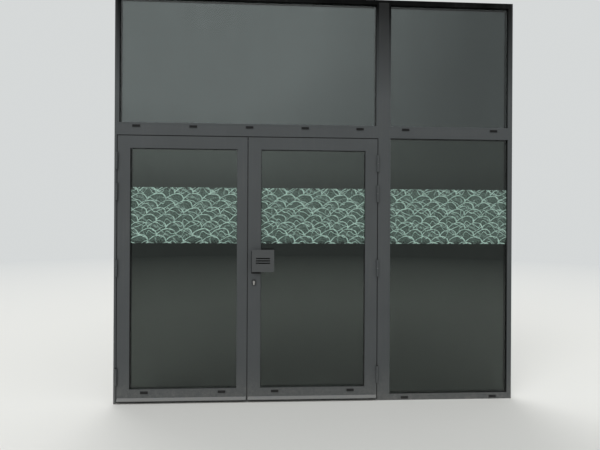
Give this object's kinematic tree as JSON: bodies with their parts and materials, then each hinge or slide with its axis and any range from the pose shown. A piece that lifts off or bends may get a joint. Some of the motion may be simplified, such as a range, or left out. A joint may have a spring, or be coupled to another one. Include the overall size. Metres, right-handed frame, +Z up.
{
  "type": "glazed entrance door",
  "caption": "Double-leaf glazed entrance door that opens outwards, in a thermally broken aluminium frame with a fixed sidelight and fanlights.",
  "frame": {"origin": "middle of the frame's foot: half of its overall width, middle of the profiles' depth, underside of the threshold", "axes": "+X to the right seen from outside, +Y into the building, +Z up"},
  "size_m": [3.287, 0.17, 3.324],
  "materials": {
    "coated_aluminium": "powder coated, satin",
    "bare_aluminium": "anodised, satin",
    "thermal_plastic": "matt",
    "glass": "clear",
    "spacer": "satin",
    "black_rubber": "matt",
    "black_plastic": "satin",
    "film": "translucent print",
    "steel": "brushed",
    "nickel": "satin nickel",
    "dark_steel": "satin"
  },
  "bodies": {
    "frame": {"jamb_left": "coated_aluminium", "jamb_right": "coated_aluminium", "mullion": "coated_aluminium", "head": "coated_aluminium", "transom_door": "coated_aluminium", "transom_side": "coated_aluminium", "sill_rail": "coated_aluminium", "threshold": "bare_aluminium", "frame_thermal_bars": "thermal_plastic", "frame_connectors": "bare_aluminium", "fanlight_glass": "glass", "sidelight_glass": "glass", "frame_spacers": "spacer", "frame_gaskets": "black_rubber", "fixed_light_beads": "coated_aluminium", "frame_drain_caps": "black_plastic", "door_stop_seal": "black_rubber", "sidelight_film": "film", "hinge_frame_halves": "coated_aluminium", "hinge_pins": "steel"},
    "left_leaf": {"left_hinge_stile": "coated_aluminium", "left_meeting_stile": "coated_aluminium", "left_top_rail": "coated_aluminium", "left_bottom_rail": "coated_aluminium", "left_thermal_bars": "thermal_plastic", "left_connectors": "bare_aluminium", "left_glass": "glass", "left_spacer": "spacer", "left_gaskets": "black_rubber", "left_beads": "coated_aluminium", "left_film": "film", "left_drip_bar": "coated_aluminium", "left_edge_seals": "black_rubber", "left_hinge_halves": "coated_aluminium", "left_drain_caps": "black_plastic", "left_edge_fittings": "steel"},
    "right_leaf": {"right_hinge_stile": "coated_aluminium", "right_meeting_stile": "coated_aluminium", "right_top_rail": "coated_aluminium", "right_bottom_rail": "coated_aluminium", "right_thermal_bars": "thermal_plastic", "right_connectors": "bare_aluminium", "right_glass": "glass", "right_spacer": "spacer", "right_gaskets": "black_rubber", "right_beads": "coated_aluminium", "right_film": "film", "right_drip_bar": "coated_aluminium", "right_edge_seals": "black_rubber", "right_hinge_halves": "coated_aluminium", "right_drain_caps": "black_plastic", "lock_case": "steel", "lock_cylinder": "nickel", "lock_escutcheons": "dark_steel", "pull_handle_outer": "coated_aluminium", "pull_handle_inner": "coated_aluminium"},
    "deadbolt": {"deadbolt": "steel"},
    "cylinder_plug": {"cylinder_plug": "nickel"},
    "flush_bolt_top": {"flush_bolt_top": "steel"},
    "flush_bolt_bottom": {"flush_bolt_bottom": "steel"}
  },
  "joints": [
    {"name": "left_leaf_swing", "type": "hinge", "parent": "frame", "child": "left_leaf", "pos_m": [-1.622, -0.045, 0], "axis": [0, 0, -1], "range_deg": [0, 95]},
    {"name": "right_leaf_swing", "type": "hinge", "parent": "frame", "child": "right_leaf", "pos_m": [0.501, -0.045, 0], "axis": [0, 0, 1], "range_deg": [0, 95]},
    {"name": "cylinder_turn", "type": "hinge", "parent": "right_leaf", "child": "cylinder_plug", "pos_m": [-0.5185, 0, 0.984], "axis": [0, 1, 0], "range_deg": [0, 360]},
    {"name": "deadbolt_throw", "type": "slide", "parent": "right_leaf", "child": "deadbolt", "axis": [-1, 0, 0], "range_m": [0, 0.02]},
    {"name": "flush_bolt_top_slide", "type": "slide", "parent": "left_leaf", "child": "flush_bolt_top", "axis": [0, 0, 1], "range_m": [0, 0.015]},
    {"name": "flush_bolt_bottom_slide", "type": "slide", "parent": "left_leaf", "child": "flush_bolt_bottom", "axis": [0, 0, -1], "range_m": [0, 0.015]}
  ],
  "couplings": [
    {"joint": "cylinder_turn", "follows": "deadbolt_throw", "rad_per_m": 314.16}
  ]
}
